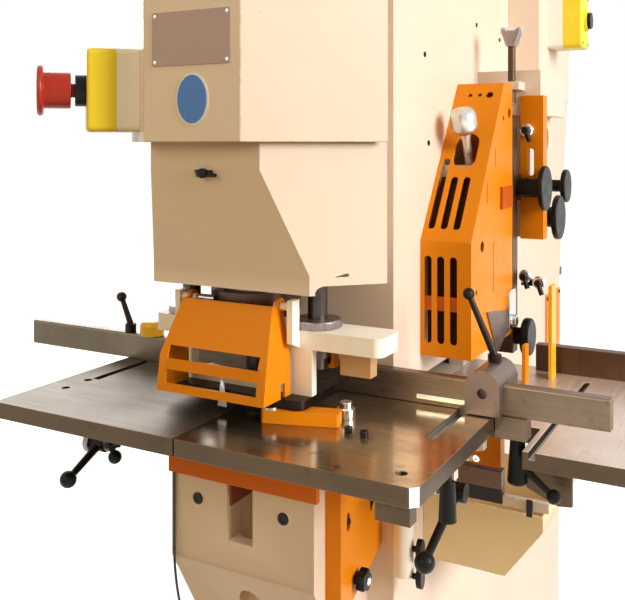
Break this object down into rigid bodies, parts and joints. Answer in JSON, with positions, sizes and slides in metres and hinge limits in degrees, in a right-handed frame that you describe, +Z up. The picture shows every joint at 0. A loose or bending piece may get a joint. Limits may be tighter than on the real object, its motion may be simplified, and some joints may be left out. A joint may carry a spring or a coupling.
{
  "type": "hydraulic ironworker",
  "caption": "Floor-standing hydraulic ironworker: punching throat with ram, stripper and tables at one end, flat and section shears on the side and a notching throat at the far end.",
  "frame": {"origin": "on the floor, under the centre of the bounding box", "axes": "+X from the punching end to the notching end, +Y away from the operator, +Z up"},
  "size_m": [1.6362, 1.02, 1.7],
  "materials": {
    "black_plastic": "moulded black",
    "box_grey": "moulded pale grey",
    "box_yellow": "moulded yellow",
    "cap_yellow": "moulded yellow-orange",
    "cast_grey": "grey paint",
    "cream_paint": "semi-gloss cream enamel",
    "dark_steel": "blackened",
    "grey_base_paint": "semi-gloss dark grey enamel",
    "ground_steel": "turned and ground",
    "lead_black": "smooth black sheath",
    "orange_paint": "semi-gloss orange enamel",
    "red_plastic": "moulded red",
    "table_steel_dark": "oiled plate",
    "table_steel_light": "ground plate",
    "tool_steel": "ground, lightly oiled"
  },
  "bodies": {
    "frame": {"base_plinth": "grey_base_paint", "cam_plate": "ground_steel", "clamp_bolt": "ground_steel", "die": "tool_steel", "die_clamp_bar": "orange_paint", "die_holder": "tool_steel", "feed_guides": "orange_paint", "head_cover": "cream_paint", "jaw_lead": "lead_black", "jaw_strip": "orange_paint", "lower_blade": "tool_steel", "main_frame": "cream_paint", "notch_table": "table_steel_light", "offcut_chute": "cream_paint", "panel_base": "box_grey", "panel_lid": "box_yellow", "punch_cylinder": "tool_steel", "ram_cover": "cream_paint", "section_block": "cream_paint", "section_guard": "orange_paint", "shear_cylinder": "tool_steel", "shear_guard": "orange_paint", "shear_rail": "ground_steel", "shear_table": "table_steel_dark", "side_cover": "orange_paint", "side_housing": "cream_paint", "stop_base": "box_grey", "stop_collar": "black_plastic", "stop_lid": "box_yellow", "stripper_arm": "cream_paint", "stripper_foot": "dark_steel", "stripper_studs": "ground_steel", "table_plate_left": "table_steel_light", "table_plate_right": "table_steel_dark"},
    "punch_ram": {"punch_ram": "ground_steel", "ram_nut": "tool_steel", "punch": "tool_steel"},
    "shear_beam": {"shear_beam": "tool_steel", "upper_blade": "tool_steel"},
    "notch_ram": {"notch_ram": "tool_steel"},
    "punch_guard": {"punch_guard": "orange_paint"},
    "stop_mushroom": {"stop_mushroom": "red_plastic"},
    "panel_button": {"panel_button": "black_plastic"},
    "fence": {"fence_bar": "dark_steel", "fence_clamp": "black_plastic"},
    "fence_left_knob": {"fence_left_knob": "cap_yellow"},
    "fence_left_lever": {"fence_left_lever": "dark_steel"},
    "stop_block": {"stop_block": "cast_grey"},
    "stop_lever": {"stop_lever": "dark_steel"},
    "stripper_wheel_right": {"stripper_wheel_right": "ground_steel"},
    "stripper_wheel_left": {"stripper_wheel_left": "ground_steel"},
    "side_cover_knob": {"side_cover_knob": "black_plastic"},
    "hold_down_knob": {"hold_down_knob": "ground_steel"},
    "t_screw": {"t_screw": "ground_steel"},
    "knob_upper": {"knob_upper": "black_plastic"},
    "knob_lower": {"knob_lower": "black_plastic"},
    "knob_rear": {"knob_rear": "black_plastic"},
    "shear_knob": {"shear_knob": "black_plastic"},
    "table_lever_right": {"table_lever_right": "dark_steel"},
    "table_lever_left": {"table_lever_left": "dark_steel"}
  },
  "joints": [
    {"name": "punch_ram_slide", "type": "slide", "parent": "frame", "child": "punch_ram", "axis": [0, 0, -1], "range_m": [0, 0.046]},
    {"name": "shear_beam_slide", "type": "slide", "parent": "frame", "child": "shear_beam", "axis": [0, 0, -1], "range_m": [0, 0.036]},
    {"name": "notch_ram_slide", "type": "slide", "parent": "frame", "child": "notch_ram", "axis": [0, 0, -1], "range_m": [0, 0.044]},
    {"name": "punch_guard_hinge", "type": "hinge", "parent": "frame", "child": "punch_guard", "pos_m": [-0.675, 0, 1.09], "axis": [0, 1, 0], "range_deg": [0, 60]},
    {"name": "stop_button_push", "type": "slide", "parent": "frame", "child": "stop_mushroom", "axis": [0.7071, -0.7071, 0], "range_m": [0, 0.005], "stiffness_N_per_m": 1500},
    {"name": "panel_button_push", "type": "slide", "parent": "frame", "child": "panel_button", "axis": [0, 1, 0], "range_m": [0, 0.003], "stiffness_N_per_m": 700},
    {"name": "fence_slide", "type": "slide", "parent": "frame", "child": "fence", "axis": [1, 0, 0], "range_m": [-0.04, 0]},
    {"name": "fence_left_knob_turn", "type": "hinge", "parent": "fence", "child": "fence_left_knob", "pos_m": [-0.526, 0.258, 1], "axis": [0, 0, 1], "continuous": true},
    {"name": "fence_left_lever_turn", "type": "hinge", "parent": "fence", "child": "fence_left_lever", "pos_m": [-0.526, 0.302, 1], "axis": [0, 0, 1], "range_deg": [-90, 90]},
    {"name": "stop_block_slide", "type": "slide", "parent": "fence", "child": "stop_block", "axis": [0, 1, 0], "range_m": [-0.1, 0.09]},
    {"name": "stop_lever_turn", "type": "hinge", "parent": "stop_block", "child": "stop_lever", "pos_m": [-0.497, -0.288, 1], "axis": [0, 0, 1], "range_deg": [-90, 90]},
    {"name": "stripper_wheel_right_turn", "type": "hinge", "parent": "frame", "child": "stripper_wheel_right", "pos_m": [-0.635, -0.099, 1.065], "axis": [0, 0, 1], "continuous": true},
    {"name": "stripper_wheel_left_turn", "type": "hinge", "parent": "frame", "child": "stripper_wheel_left", "pos_m": [-0.635, 0.099, 1.065], "axis": [0, 0, 1], "continuous": true},
    {"name": "side_cover_knob_turn", "type": "hinge", "parent": "frame", "child": "side_cover_knob", "pos_m": [-0.591, -0.14, 0.728], "axis": [0, 1, 0], "continuous": true},
    {"name": "hold_down_turn", "type": "hinge", "parent": "frame", "child": "hold_down_knob", "pos_m": [-0.304, -0.19, 1.262], "axis": [-0.3987, 0, 0.9171], "continuous": true},
    {"name": "t_screw_turn", "type": "hinge", "parent": "frame", "child": "t_screw", "pos_m": [-0.154, -0.215, 1.42], "axis": [0, 0, 1], "continuous": true},
    {"name": "knob_upper_turn", "type": "hinge", "parent": "frame", "child": "knob_upper", "pos_m": [-0.158, -0.25, 1.218], "axis": [0, 1, 0], "continuous": true},
    {"name": "knob_lower_turn", "type": "hinge", "parent": "frame", "child": "knob_lower", "pos_m": [-0.06, -0.25, 1.162], "axis": [0, 1, 0], "continuous": true},
    {"name": "knob_rear_turn", "type": "hinge", "parent": "frame", "child": "knob_rear", "pos_m": [-0.007, -0.25, 1.215], "axis": [0, 1, 0], "continuous": true},
    {"name": "shear_knob_turn", "type": "hinge", "parent": "frame", "child": "shear_knob", "pos_m": [-0.179, -0.24, 0.972], "axis": [0, 1, 0], "continuous": true},
    {"name": "table_lever_right_turn", "type": "hinge", "parent": "frame", "child": "table_lever_right", "pos_m": [-0.572, -0.262, 0.859], "axis": [0, 1, 0], "range_deg": [-25, 25]},
    {"name": "table_lever_left_turn", "type": "hinge", "parent": "frame", "child": "table_lever_left", "pos_m": [-0.626, 0.274, 0.846], "axis": [0, 1, 0], "range_deg": [-25, 25]}
  ],
  "couplings": [
    {"joint": "notch_ram_slide", "follows": "shear_beam_slide", "ratio": 1.2}
  ]
}
